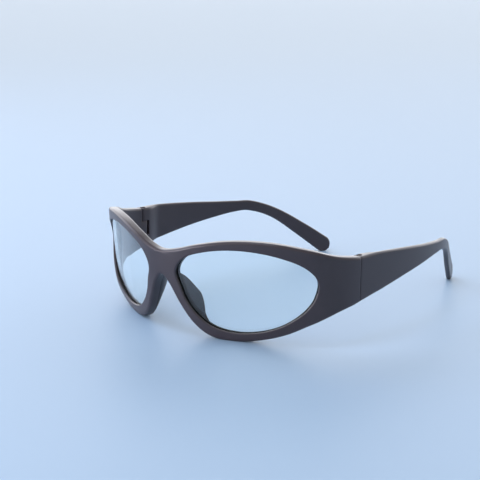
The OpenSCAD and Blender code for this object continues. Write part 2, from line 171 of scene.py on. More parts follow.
@dataclass
class Sheet:
    """The bent sheet, and the outlines and hinge places that the pieces share."""

    # The lens openings, the bridge, the rims and the end pieces
    eye_w: float = 58.0
    eye_h: float = 35.2
    bridge_gap: float = 18.0
    bridge_h: float = 11.0
    rim_w: float = 4.0
    rim_d: float = 4.5
    end_len: float = 21.6
    # The lean of the face in degrees, its upright curve, and the roundings of edge and seam
    lean: float = 9.0
    face_r: float = 220.0
    edge_r: float = 1.2
    seam_r: float = 0.35
    # The temple: its lengths before and behind the bend, its heights, depth and tip
    arm_len: float = 62.0
    tip_len: float = 52.0
    hinge_h: float = 19.0
    bend_h: float = 5.8
    arm_d: float = 2.4
    tip_r: float = 4.2
    tip_drop: float = 35.0
    # The hinge: the screw's depth behind the outer face, the tongue and its clearances
    pin_in: float = 3.0
    knuckle_r: float = 2.0
    tongue_h: float = 6.6
    tongue_gap: float = 0.15
    pocket_gap: float = 0.3
    seam_gap: float = 0.15
    # How much of each foot its flat takes off
    rest_cut: float = 0.25
    # The height that the lean turns about, and the run before the hinge in which it fades out
    lean_z: float = 20.0
    lean_run: float = 40.0
    # The step of the walk along the bend
    walk_step: float = 0.25
    # The bridge and the hinges above the lens's middle
    bridge_up: float = 3.4
    hinge_up: float = 5.1
    # The front thickens over a run of this share of the end piece, which starts this many runs
    # before the seam, and the temple thins over this share of the arm
    grow_share: float = 0.7
    grow_from: float = 1.4
    thin_share: float = 0.15
    # Places worked out from the sizes: s along the bend, z up and d in
    eye_s: float = field(init=False)
    seam_s: float = field(init=False)
    pin_run: float = field(init=False)
    pin_s: float = field(init=False)
    bend_s: float = field(init=False)
    tip_s: float = field(init=False)
    end_s: float = field(init=False)
    eye_z: float = field(init=False)
    bridge_low: float = field(init=False)
    bridge_top: float = field(init=False)
    hinge_z: float = field(init=False)
    tip_z: float = field(init=False)
    hinge_d: float = field(init=False)
    mid_y: float = field(init=False, default=0.0)
    # Rows of a place along the bend and the heading there, in degrees
    turns: list[Point] = field(init=False)
    walk: list[Point] = field(init=False)
    brow: Spline = field(init=False)
    low: Spline = field(init=False)
    eye_reach: Spline = field(init=False)
    pin: Point = field(init=False)

    def __post_init__(self) -> None:
        """Work out the derived places, the bend and the outlines, in this order."""
        self.set_places()
        self.set_bend()
        self.set_outlines()
        self.pin = self.at(self.pin_s, self.hinge_z, self.pin_in)

    def set_places(self) -> None:
        """Work out the places along the bend and the heights."""
        self.eye_s = self.bridge_gap / 2 + self.eye_w / 2
        self.seam_s = self.bridge_gap / 2 + self.eye_w + self.end_len
        self.pin_run = self.knuckle_r + self.pocket_gap
        self.pin_s = self.seam_s + self.pin_run
        self.bend_s = self.pin_s + self.arm_len
        self.tip_s = self.bend_s + self.tip_len
        self.end_s = self.tip_s + 2 * self.tip_r
        self.eye_z = self.rim_w + self.eye_h / 2 - self.rest_cut
        self.bridge_low = self.eye_z + self.bridge_up
        self.bridge_top = self.bridge_low + self.bridge_h
        self.hinge_z = self.eye_z + self.hinge_up
        self.tip_z = self.tip_r - self.rest_cut
        self.hinge_d = self.pin_in + self.knuckle_r

    def set_bend(self) -> None:
        """Set the headings, walk along the bend, and find the middle from front to back."""
        self.turns = [
            (0.0, 0.0), (self.bridge_gap * 0.67, 13.6), (self.eye_s - self.eye_w * 0.14, 23.4),
            (self.eye_s + self.eye_w * 0.2, 28.5), (self.eye_s + self.eye_w * 0.48, 45.5),
            (self.seam_s - self.end_len * 0.43, 75.5), (self.seam_s - self.end_len * 0.02, 90.0),
            (self.pin_s + self.arm_len * 0.08, 90.0), (self.pin_s + self.arm_len * 0.5, 93.5),
            (self.bend_s, 102.0), (self.bend_s + self.tip_len * 0.45, 119.0), (self.end_s, 114.0),
        ]
        self.walk = [(0.0, 0.0)]
        x = y = s = 0.0
        while s <= self.end_s:
            heading = math.radians(lookup(s + self.walk_step / 2, self.turns))
            x += self.walk_step * math.cos(heading)
            y += self.walk_step * math.sin(heading)
            s += self.walk_step
            self.walk.append((x, y))
        front = self.lean_at(self.bridge_top - self.edge_r)
        self.mid_y = (front + self.plan(self.tip_s + self.tip_r, self.edge_r)[1]) / 2

    def set_outlines(self) -> None:
        """Draw the front's upper and lower outline and the shape of the lens opening."""
        top, brow_rise = self.bridge_top, 1.35
        self.brow = Spline((
            (-self.bridge_gap * 0.45, top + brow_rise), (0.0, top),
            (self.bridge_gap * 0.45, top + brow_rise),
            self.rim_row(-0.69, 0.83), self.rim_row(-0.28, 0.97), self.rim_row(0.14, 1.025),
            self.rim_row(0.55, 1), self.rim_row(0.97, 0.87),
            (self.seam_s - self.end_len * 0.53, self.hinge_z + self.hinge_h / 2 + 1.8),
            (self.seam_s, self.hinge_z + self.hinge_h / 2),
        ))
        self.low = Spline((
            (-self.bridge_gap * 0.22, self.bridge_low - 3.5), (0.0, self.bridge_low),
            (self.bridge_gap * 0.22, self.bridge_low - 3.5),
            (self.bridge_gap * 0.45, self.bridge_low - 11),
            self.rim_row(-0.86, -0.63), self.rim_row(-0.655, -0.905), self.rim_row(-0.41, -1),
            self.rim_row(-0.14, -0.99), self.rim_row(0.21, -0.885), self.rim_row(0.55, -0.705),
            self.rim_row(0.9, -0.45),
            (self.seam_s - self.end_len * 0.53, self.hinge_z - self.hinge_h / 2 - 2.4),
            (self.seam_s, self.hinge_z - self.hinge_h / 2),
        ))
        # Rows of a turn round the lens's middle and the reach there, as a share of an ellipse's
        self.eye_reach = Spline((
            (-20, 0.92), (0, 1.005), (20, 1.11), (40, 1.12), (60, 1.07), (80, 1.03), (100, 1.03),
            (120, 1.065), (140, 1.125), (160, 1.095), (180, 0.975), (200, 0.96), (220, 1),
            (240, 1.055), (260, 1.015), (280, 0.94), (300, 0.885), (320, 0.875), (340, 0.92),
            (360, 1.005), (380, 1.11),
        ))

    def rim_row(self, u: float, v: float) -> Point:
        """A place one rim outside a share of the lens's half width and half height."""
        out = math.copysign(self.rim_w, v)
        return (self.eye_s + u * self.eye_w / 2, self.eye_z + v * self.eye_h / 2 + out)

    def lean_at(self, z: float) -> float:
        """How far back the face stands at a height, for its lean and its curve."""
        up = z - self.lean_z
        return up * up / (2 * self.face_r) - up * math.tan(math.radians(self.lean))

    def plan(self, s: float, d: float) -> Point:
        """A place on the sheet, seen from above.

        Args:
            s: the way along the bend.
            d: the depth in from the outer face.

        Returns:
            The place across and along the glasses, before they are centred.
        """
        heading = math.radians(lookup(s, self.turns))
        i = int(clip(s / self.walk_step, 0, len(self.walk) - 2))
        x, y = between(self.walk[i], self.walk[i + 1], s / self.walk_step - i)
        return (x - d * math.sin(heading), y + d * math.cos(heading))

    def at(self, s: float, z: float, d: float) -> Point:
        """A place on the sheet as a point in space.

        Args:
            s: the way along the bend.
            z: the height.
            d: the depth in from the outer face.

        Returns:
            The point, in the frame of the CAD model.
        """
        x, y = self.plan(s, d)
        return (x, y + ease((self.pin_s - s) / self.lean_run) * self.lean_at(z) - self.mid_y, z)

    def turn_of(self, s: float, z: float) -> float:
        """The turn round the lens's middle at which a place lies, in degrees."""
        up, along = (z - self.eye_z) / self.eye_h, (s - self.eye_s) / self.eye_w
        return math.degrees(math.atan2(up, along)) % 360

    def eye_at(self, turn: float, out: float = 0.0) -> Point:
        """The edge of the lens opening, or a line beside it.

        Args:
            turn: the turn round the lens's middle, in degrees.
            out: how far outward of the edge.

        Returns:
            The place along the bend and its height.
        """
        a = math.radians(turn)
        u = (self.eye_w / 2 * math.cos(a), self.eye_h / 2 * math.sin(a))
        reach = self.eye_reach.at(turn) + out / math.hypot(*u)
        return (self.eye_s + u[0] * reach, self.eye_z + u[1] * reach)

    def inside(self, outline: Spline, s: float, z: float) -> float:
        """How far a place lies inside the upper or the lower outline."""
        return abs(outline.at(s) - z) / math.hypot(1, outline.slope(s))

    def edge_depth(self, s: float, z: float) -> float:
        """How deep the front's rounded edges lie behind its outer face at a place."""
        edge = min(self.inside(self.brow, s, z), self.inside(self.low, s, z))
        return arc_depth(edge, self.edge_r)

    def front_d(self, s: float) -> float:
        """Thickness of the front, which grows towards the hinge."""
        way = (s - self.seam_s) / (self.end_len * self.grow_share) + self.grow_from
        return mix(self.rim_d, self.hinge_d, ease(way))

    def temple_d(self, s: float) -> float:
        """Thickness of a temple, which shrinks behind the hinge."""
        behind = s - self.pin_s - self.knuckle_r
        return mix(self.hinge_d, self.arm_d, ease(behind / (self.arm_len * self.thin_share)))


SHEET = Sheet()


# ---- finishes ----


def linear(hex_colour: str) -> tuple[float, float, float, float]:
    """Turn an sRGB hex colour to linear values.

    Args:
        hex_colour: such as "#3a3537".

    Returns:
        Red, green, blue and a full alpha.
    """
    parts = [int(hex_colour[i : i + 2], 16) / 255 for i in (1, 3, 5)]
    red, green, blue = (
        p / 12.92 if p <= 0.04045 else ((p + 0.055) / 1.055) ** 2.4 for p in parts
    )
    return (red, green, blue, 1.0)


def node(tree: bpy.types.NodeTree, kind: str, settings: dict, links: dict) -> bpy.types.Node:
    """Add a node with its settings and links.

    Args:
        tree: the node tree to add it to.
        kind: the node's type name.
        settings: values by attribute name, or by the name or number of an input.
        links: outputs by the name or number of the input that they feed.

    Returns:
        The new node.
    """
    made = tree.nodes.new(kind)
    for key, value in settings.items():
        if isinstance(key, str) and hasattr(made, key) and key not in made.inputs:
            setattr(made, key, value)
        else:
            made.inputs[key].default_value = value
    for key, output in links.items():
        tree.links.new(output, made.inputs[key])
    return made


@dataclass(frozen=True)
class Finish:
    """What every finish has. The index of refraction is Blender's default unless it is given."""

    name: str
    colour: str
    roughness: float
    ior: float = 1.5

    def start(self) -> tuple[bpy.types.Material, bpy.types.NodeTree, bpy.types.Node]:
        """Make the material with its shader.

        Returns:
            The material, its node tree and its shader node.
        """
        material = bpy.data.materials.new(self.name)
        material.use_nodes = True
        tree = material.node_tree
        tree.nodes.clear()
        shader = node(
            tree,
            "ShaderNodeBsdfPrincipled",
            {"Base Color": linear(self.colour), "Roughness": self.roughness, "IOR": self.ior},
            {},
        )
        node(tree, "ShaderNodeOutputMaterial", {}, {"Surface": shader.outputs["BSDF"]})
        material.diffuse_color = linear(self.colour)
        return material, tree, shader


@dataclass(frozen=True)
class MouldedPlastic(Finish):
    """Injection-moulded plastic: the tool's fine spark texture and slow flow marks show."""

    second_colour: str = "#4b4246"
    # The real spark texture is about 0.1 mm across, too fine to show, so it is drawn coarser
    grain_mm: float = 0.5
    grain_height_mm: float = 0.012
    grain_detail: float = 4.0
    grain_strength: float = 0.5
    # Flow marks run 10 to 20 mm in a moulding of this size
    flow_mm: float = 14.0
    flow_detail: float = 3.0
    flow_bend: float = 0.6
    mottle: float = 0.55
    rough_spread: float = 0.08
    # The span of the flow marks' noise that the colour follows, and that the gloss follows
    tone_span: Point = (0.3, 0.75)
    gloss_span: Point = (0.3, 0.7)
    # The walls round the lens carry painted shade: a near-black colour stands in for the shade in
    # the groove, and they are drawn matt
    seat_painted_shade_colour: str = "#0d0b0c"
    seat_roughness: float = 0.9

    def material(self) -> bpy.types.Material:
        """Make the material: a mottled colour, uneven gloss, a fine grain, and painted shade on
        the walls round the lens.

        Returns:
            The material.
        """
        made, tree, shader = self.start()
        place = node(tree, "ShaderNodeTexCoord", {}, {}).outputs["Object"]
        grain = node(
            tree, "ShaderNodeTexNoise",
            {"Scale": 1 / (self.grain_mm * MM), "Detail": self.grain_detail}, {"Vector": place},
        )
        flow = node(
            tree, "ShaderNodeTexNoise",
            {
                "Scale": 1 / (self.flow_mm * MM), "Detail": self.flow_detail,
                "Distortion": self.flow_bend,
            },
            {"Vector": place},
        )
        tone = node(
            tree, "ShaderNodeMapRange",
            {
                "From Min": self.tone_span[0], "From Max": self.tone_span[1],
                "To Max": self.mottle,
            },
            {"Value": flow.outputs["Fac"]},
        )
        colour = node(
            tree, "ShaderNodeMix",
            {"data_type": "RGBA", 6: linear(self.colour), 7: linear(self.second_colour)},
            {0: tone.outputs["Result"]},
        )
        # The seat's mark turns the colour to painted shade, near black, and the gloss to matt
        seat = node(tree, "ShaderNodeAttribute", {"attribute_name": SEAT_SHADE_MARK}, {}).outputs["Fac"]
        tone_with_painted_seat_shade = node(
            tree, "ShaderNodeMix", {"data_type": "RGBA", 7: linear(self.seat_painted_shade_colour)},
            {0: seat, 6: colour.outputs[2]},
        )
        gloss = node(
            tree, "ShaderNodeMapRange",
            {
                "From Min": self.gloss_span[0], "From Max": self.gloss_span[1],
                "To Min": self.roughness - self.rough_spread / 2,
                "To Max": self.roughness + self.rough_spread / 2,
            },
            {"Value": flow.outputs["Fac"]},
        )
        gloss_in_seat = node(
            tree, "ShaderNodeMix", {3: self.seat_roughness},
            {0: seat, 2: gloss.outputs["Result"]},
        )
        bump = node(
            tree, "ShaderNodeBump",
            {"Strength": self.grain_strength, "Distance": self.grain_height_mm * MM},
            {"Height": grain.outputs["Fac"]},
        )
        tree.links.new(tone_with_painted_seat_shade.outputs[2], shader.inputs["Base Color"])
        tree.links.new(gloss_in_seat.outputs[0], shader.inputs["Roughness"])
        tree.links.new(bump.outputs["Normal"], shader.inputs["Normal"])
        return made


@dataclass(frozen=True)
class ClearLens(Finish):
    """Moulded clear polycarbonate with a hard coat: bright reflections and a faint tint."""

    # A moulded lens keeps slow waves, about half its own width across
    wave_mm: float = 30.0
    wave_height_mm: float = 0.004
    wave_detail: float = 1.0
    wave_strength: float = 0.3

    def material(self) -> bpy.types.Material:
        """Make the material: clear, with the slow surface waves of a moulding.

        Returns:
            The material.
        """
        made, tree, shader = self.start()
        shader.inputs["Transmission Weight"].default_value = 1.0
        place = node(tree, "ShaderNodeTexCoord", {}, {}).outputs["Object"]
        wave = node(
            tree, "ShaderNodeTexNoise",
            {"Scale": 1 / (self.wave_mm * MM), "Detail": self.wave_detail}, {"Vector": place},
        )
        bump = node(
            tree, "ShaderNodeBump",
            {"Strength": self.wave_strength, "Distance": self.wave_height_mm * MM},
            {"Height": wave.outputs["Fac"]},
        )
        tree.links.new(bump.outputs["Normal"], shader.inputs["Normal"])
        return made


@dataclass(frozen=True)
class TurnedMetal(Finish):
    """Metal turned on a lathe: fine tool marks catch the light."""

    # Real tool marks are about 0.03 mm apart, too fine to show, so they are drawn coarser
    mark_mm: float = 0.12
    mark_detail: float = 2.0
    smoother: float = 0.08
    rougher: float = 0.12

    def material(self) -> bpy.types.Material:
        """Make the material: metallic, with fine tool marks in its gloss.

        Returns:
            The material.
        """
        made, tree, shader = self.start()
        shader.inputs["Metallic"].default_value = 1.0
        place = node(tree, "ShaderNodeTexCoord", {}, {}).outputs["Object"]
        marks = node(
            tree, "ShaderNodeTexNoise",
            {"Scale": 1 / (self.mark_mm * MM), "Detail": self.mark_detail}, {"Vector": place},
        )
        gloss = node(
            tree, "ShaderNodeMapRange",
            {"To Min": self.roughness - self.smoother, "To Max": self.roughness + self.rougher},
            {"Value": marks.outputs["Fac"]},
        )
        tree.links.new(gloss.outputs["Result"], shader.inputs["Roughness"])
        return made


@dataclass(frozen=True)
class PlainSheet(Finish):
    """A plain sheet, even all over."""

    def material(self) -> bpy.types.Material:
        """Make the plain material."""
        return self.start()[0]


@dataclass(frozen=True)
class Finishes:
    """The finishes of the glasses and of the floor."""

    # Nylon, injection moulded: dark warm grey that looks satin, with a soft sheen at the edges
    frame: MouldedPlastic = MouldedPlastic("nylon_moulded_dark_grey", "#40373b", 0.34, 1.53)
    # The same nylon with a finer and duller tool face where it rests on the skin; its darker
    # colour is painted shade, for the pad stands in shade behind the rim and the lens
    pad: MouldedPlastic = MouldedPlastic(
        "nylon_moulded_satin_pad_painted_shade", "#28191c", 0.4, 1.53, second_colour="#302023", grain_mm=0.4
    )
    # Polycarbonate with a hard coat: clear, hardly blue
    lens: ClearLens = ClearLens("polycarbonate_clear_hard_coated", "#f6feff", 0.0, 1.586)
    # Stainless steel, turned: a bright neutral glint in the recess
    screw: TurnedMetal = TurnedMetal("stainless_steel_turned", "#b9babd", 0.28)
    # Brass, turned: a warm glint
    insert: TurnedMetal = TurnedMetal("brass_turned", "#c8a45a", 0.3)
    # Acrylic sheet with a matt face: pale and even, and bright where it mirrors the backdrop
    floor: PlainSheet = PlainSheet("acrylic_sheet_pale_matt", "#a6c1d9", 0.5, 1.49)


# ---- meshes ----


def loft(rings: list[list[Point]], caps: bool = True, round_trip: bool = False) -> Faces:
    """Faces of a tube through closed rings of equally many points.

    Args:
        rings: the rings, in order.
        caps: whether the first and the last ring get a flat face.
        round_trip: whether the last ring joins the first.

    Returns:
        The faces, as point numbers.
    """
    n, k = len(rings), len(rings[0])
    steps = n if round_trip else n - 1
    faces: Faces = [
        (j * k + i, j * k + (i + 1) % k, (j + 1) % n * k + (i + 1) % k, (j + 1) % n * k + i)
        for j in range(steps)
        for i in range(k)
    ]
    if caps and not round_trip:
        faces.append(tuple(reversed(range(k))))
        faces.append(tuple((n - 1) * k + i for i in range(k)))
    return faces


def solid(
    name: str, points: list[Point], faces: Faces, side: Side = Side.LEFT, sharp: float = SHARP,
    seat: list[float] | None = None,
) -> bpy.types.Object:
    """Make a closed mesh object from points in millimetres.

    Args:
        name: the object's name.
        points: the points, drawn for the left side.
        faces: the faces, as point numbers.
        side: the side to make it for; the right side is the mirror image.
        sharp: the angle in degrees above which an edge is drawn sharp.
        seat: how far each point belongs to the lens's seat, where the nylon paints shade, from 0
            to 1.

    Returns:
        The new object, with its faces turned outward.
    """
    mesh = bpy.data.meshes.new(name)
    mesh.from_pydata([(p[0] * side.value * MM, p[1] * MM, p[2] * MM) for p in points], [], faces)
    if seat:
        mesh.attributes.new(SEAT_SHADE_MARK, "FLOAT", "POINT").data.foreach_set("value", seat)
    obj = bpy.data.objects.new(name, mesh)
    bpy.context.scene.collection.objects.link(obj)
    tidy_mesh(obj, sharp)
    return obj


def tidy_mesh(obj: bpy.types.Object, sharp: float) -> None:
    """Merge doubled points, turn the faces outward and shade the mesh smooth.

    Args:
        obj: the object whose mesh is tidied.
        sharp: the angle in degrees above which an edge is drawn sharp.
    """
    work = bmesh.new()
    work.from_mesh(obj.data)
    bmesh.ops.remove_doubles(work, verts=work.verts, dist=MERGE_MM * MM)
    bmesh.ops.dissolve_degenerate(work, edges=work.edges, dist=MERGE_MM / 2 * MM)
    bmesh.ops.recalc_face_normals(work, faces=work.faces)
    work.to_mesh(obj.data)
    work.free()
    obj.data.shade_smooth()
    obj.data.set_sharp_from_angle(angle=math.radians(sharp))


def prism(outline: list[Point], low: float, high: float) -> tuple[list[Point], Faces]:
    """Points and faces of an upright prism."""
    rings = [[(x, y, low) for x, y in outline], [(x, y, high) for x, y in outline]]
    return rings[0] + rings[1], loft(rings)


def arc(radius: float, start: float, stop: float, steps: int) -> list[Point]:
    """Places along an arc round the origin, from one angle to another in degrees."""
    turns = [math.radians(mix(start, stop, i / steps)) for i in range(steps + 1)]
    return [(radius * math.cos(a), radius * math.sin(a)) for a in turns]


def cut(obj: bpy.types.Object, tools: list[bpy.types.Object], sharp: float = SHARP) -> None:
    """Cut tool shapes out of an object, and remove the tools.

    Args:
        obj: the object to cut.
        tools: closed meshes to take away from it.
        sharp: the angle in degrees above which an edge is drawn sharp.
    """
    for tool in tools:
        step = obj.modifiers.new("cut", "BOOLEAN")
        step.operation = "DIFFERENCE"
        step.solver = "EXACT"
        step.object = tool
    ready = obj.evaluated_get(bpy.context.evaluated_depsgraph_get())
    mesh = bpy.data.meshes.new_from_object(ready)
    obj.modifiers.clear()
    obj.data = mesh
    for tool in tools:
        bpy.data.objects.remove(tool)
    tidy_mesh(obj, sharp)


def settle(
    obj: bpy.types.Object, material: bpy.types.Material, body: str, cad_node: str
) -> bpy.types.Object:
    """Give a piece its material and body, hide the CAD node that it stands for, and report it.

    Args:
        obj: the piece.
        material: its material.
        body: the CAD body that it rides on.
        cad_node: the CAD node that it stands for.

    Returns:
        The piece.
    """
    obj.data.materials.clear()
    obj.data.materials.append(material)
    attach(obj, body)
    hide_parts(cad_node)
    LOG.info("%s rides on %s, %d faces", obj.name, body, len(obj.data.polygons))
    return obj


# ---- the front ----


@dataclass
class Front:
    """The moulded front: both rims, the bridge, the end pieces and the hinge tongues."""

    lens_t: float = 2.0
    lens_in: float = 1.2
    groove_d: float = 1.2
    lens_gap: float = 0.1
    lip_r: float = 0.5
    back_lip_r: float = 0.12
    screw_bore: float = 0.75
    tongue_edge: float = 0.25
    tongue_root: float = 1.5
    bevel: float = 0.35
    # The least slant that stretches the rounded edge, and the edge's largest share of a section
    least_slant: float = 0.2
    edge_share: float = 0.45
    # Steps along the brow, the low edge, the bridge's middle and the seam
    brow_n: int = 150
    low_n: int = 190
    middle_n: int = 8
    seam_n: int = 14
    # Steps round a rounded edge, across the face and round the lip
    arc_n: int = 7
    face_n: int = 9
    lip_n: int = 4
    # Rays from the lens's middle, and rings along them
    spokes: int = 180
    lens_n: int = 14

    def arc_in(self, i: int) -> float:
        """Distance in from the outer edge at a step round it."""
        return SHEET.edge_r * (1 - math.cos(math.radians(90 * i / self.arc_n)))

    def side_heights(self, a: float, b: float, n: int) -> list[float]:
        """Heights along an upright side, close together in its rounded corners.

        Args:
            a: the height to start from.
            b: the height to end at.
            n: steps between the corners.

        Returns:
            The heights between the two.
        """
        way = math.copysign(1, b - a)
        r = SHEET.edge_r
        return (
            [a + way * self.arc_in(i) for i in range(1, self.arc_n + 1)]
            + [mix(a + way * r, b - way * r, i / n) for i in range(1, n)]
            + [b - way * self.arc_in(i) for i in range(self.arc_n, 0, -1)]
        )

    def stations(self) -> list[tuple[float, float, float]]:
        """Places round one half of the outline, with the direction of the outline there.

        Returns:
            Rows of s, z and the outline's slope, which is infinite on the upright sides.
        """
        end, brow, low = SHEET.seam_s, SHEET.brow, SHEET.low
        rows = []
        for i in range(self.brow_n + 1):
            s = end * (1 - i / self.brow_n)
            rows.append((s, brow.at(s), brow.slope(s)))
        middle = self.side_heights(brow.at(0), low.at(0), self.middle_n)
        rows += [(0.0, z, math.inf) for z in middle]
        # The steps are shortest at the bridge, where the low edge turns most
        for i in range(self.low_n + 1):
            s = end * (i / self.low_n) ** 1.5
            rows.append((s, low.at(s), low.slope(s)))
        seam = self.side_heights(low.at(end), brow.at(end), self.seam_n)
        rows += [(end, z, math.inf) for z in seam]
        return rows

    def depth(self, s: float, z: float) -> float:
        """How deep the rounded edges lie behind the outer face at a place."""
        return max(SHEET.edge_depth(s, z), arc_depth(SHEET.seam_s - s, SHEET.seam_r))

    def section(self, s: float, z: float, slope: float) -> list[Point]:
        """One section: along the front face, round the groove and back along the rear face.

        Args:
            s: the section's place on the outline, along the bend.
            z: the height there.
            slope: the outline's slope there, infinite on an upright side.

        Returns:
            The section's points, as places on the sheet.
        """
        turn = SHEET.turn_of(s, z)
        lip, eye = SHEET.eye_at(turn, self.lip_r), SHEET.eye_at(turn)
        back_edge = SHEET.eye_at(turn, self.back_lip_r)
        deep = SHEET.eye_at(turn, self.groove_d)
        run = math.dist((s, z), lip)
        way = ((lip[0] - s) / run, (lip[1] - z) / run)
        # The section meets the outline at a slant, which stretches the rounded edge
        slant = 1.0
        if not math.isinf(slope):
            slant = max(abs(way[0] * slope - way[1]) / math.hypot(1, slope), self.least_slant)
        edge = []
        for i in range(self.arc_n + 1):
            go = min(self.arc_in(i) / slant, run * self.edge_share * i / self.arc_n)
            edge.append((s + way[0] * go, z + way[1] * go))
        face = edge + [between(edge[-1], lip, i / self.face_n) for i in range(1, self.face_n)]
        top = [(p[0], p[1], self.depth(*p)) for p in face]
        back = [(p[0], p[1], SHEET.front_d(p[0]) - self.depth(*p)) for p in face]
        front_lip, back_lip = [], []
        for i in range(self.lip_n + 1):
            a = math.radians(90 * i / self.lip_n)
            p, q = between(lip, eye, math.sin(a)), between(back_edge, eye, math.sin(a))
            front_lip.append((p[0], p[1], self.lip_r * (1 - math.cos(a))))
            sunk = self.back_lip_r * (1 - math.cos(a))
            back_lip.append((q[0], q[1], SHEET.front_d(q[0]) - sunk))
        shallow, low = self.lens_in - self.lens_gap, self.lens_in + self.lens_t + self.lens_gap
        groove = [(*eye, shallow), (*deep, shallow), (*deep, low), (*eye, low)]
        return top + front_lip + groove + back_lip[::-1] + back[::-1]

    def shell(self, material: bpy.types.Material) -> bpy.types.Object:
        """Build the whole front from its two halves, which share the bridge's middle.

        Args:
            material: the front's material.

        Returns:
            The front without its tongues.
        """
        stations = self.stations()
        rows = [self.section(*q) for q in stations]
        n, k = len(rows), len(rows[0])
        middle = [q[0] == 0.0 for q in stations]
        half = [SHEET.at(*p) for row in rows for p in row]
        half = [(x, y, max(z, 0.0)) for x, y, z in half]
        faces: Faces = []
        for j in range(n):
            for i in range(k):
                after = (j + 1) % n
                if i == k - 1 and middle[j] and middle[after]:
                    continue
                step = (i + 1) % k
                faces.append((j * k + i, j * k + step, after * k + step, after * k + i))
        other = [tuple(n * k + i for i in reversed(face)) for face in faces]
        points = half + [(-x, y, z) for x, y, z in half]
        # The seat, which the nylon's look paints in shade, runs from behind the front lip, round
        # the groove, to the rear edge
        start, stop = self.arc_n + self.face_n + self.lip_n + 1, k - self.arc_n - self.face_n
        seat = [float(start <= i < stop) for i in range(k)] * (2 * n)
        obj = solid("front_shell", points, faces + other, seat=seat)
        return settle(obj, material, "front", "front_frame")

    def tongue(self, side: Side, material: bpy.types.Material) -> bpy.types.Object:
        """Build the tongue that carries one temple: a bored lug with softened edges.

        Args:
            side: the wearer's side.
            material: the front's material.

        Returns:
            The tongue.
        """
        r, e, root = SHEET.knuckle_r, self.tongue_edge, self.tongue_root
        low = SHEET.hinge_z - SHEET.tongue_h / 2
        high = low + SHEET.tongue_h
        # Where the softened edge is halfway round
        part = 0.3 * e

        def outer(inset: float) -> list[Point]:
            """The lug's outline, moved inward."""
            q, back = r - inset, -SHEET.pin_run - root
            return arc(q, 0, 180, 24) + [(-q, back), (q, back)]

        bore = [
            (self.screw_bore * math.cos(a), self.screw_bore * math.sin(a))
            for a in (math.atan2(y, x) for x, y in outer(0))
        ]
        levels = [
            (bore, low), (outer(e), low), (outer(part), low + part), (outer(0), low + e),
            (outer(0), high - e), (outer(part), high - part), (outer(e), high), (bore, high),
        ]
        rings = [[(x + SHEET.pin[0], y + SHEET.pin[1], z) for x, y in line] for line, z in levels]
        points = [p for ring in rings for p in ring]
        faces = loft(rings, round_trip=True)
        obj = solid(f"front_tongue_{side.word}", points, faces, side, sharp=30.0)
        return settle(obj, material, "front", "front_frame")

    def lens(self, side: Side, material: bpy.types.Material) -> bpy.types.Object:
        """Build one lens, with a rounded edge that sits in the groove.

        Args:
            side: the wearer's side.
            material: the lens's material.

        Returns:
            The lens.
        """
        spokes, bevel, steps = self.spokes, self.bevel, self.lens_n
        seated = self.groove_d - self.lens_gap
        near, far = self.lens_in, self.lens_in + self.lens_t
        rim = [SHEET.eye_at(360 * i / spokes, seated) for i in range(spokes)]
        inner = [SHEET.eye_at(360 * i / spokes, seated - bevel) for i in range(spokes)]
        middle = (SHEET.eye_s, SHEET.eye_z)

        def ring(share: float, d: float) -> list[Point]:
            """A ring at a share of the way from the middle to the edge."""
            return [SHEET.at(*between(middle, p, share), d) for p in inner]

        def edge(turn: float, d: float, way: int) -> list[Point]:
            """A ring part of the way round the rounded edge.

            Args:
                turn: how far round the edge, in degrees.
                d: the depth of the lens's face on this side.
                way: 1 to go deeper from that face, or -1.

            Returns:
                The ring's points in space.
            """
            a = math.radians(turn)
            share, sunk = math.sin(a), bevel * (1 - math.cos(a))
            return [SHEET.at(*between(p, q, share), d + way * sunk) for p, q in zip(inner, rim)]

        # The rings lie a little closer together towards the edge
        shares = [(i / steps) ** 0.8 for i in range(1, steps + 1)]
        rings = [ring(f, near) for f in shares]
        rings += [edge(a, near, 1) for a in (30, 60, 90)]
        rings += [edge(a, far, -1) for a in (90, 60, 30)]
        rings += [ring(f, far) for f in reversed(shares)]
        points = [p for line in rings for p in line]
        points += [SHEET.at(*middle, near), SHEET.at(*middle, far)]
        faces = loft(rings, caps=False)
        last, start = len(points) - 2, (len(rings) - 1) * spokes
        for i in range(spokes):
            after = (i + 1) % spokes
            faces.append((last, after, i))
            faces.append((last + 1, start + i, start + after))
        obj = solid(f"lens_{side.word}_clear", points, faces, side, sharp=60.0)
        return settle(obj, material, "front", f"lens_{side.word}")


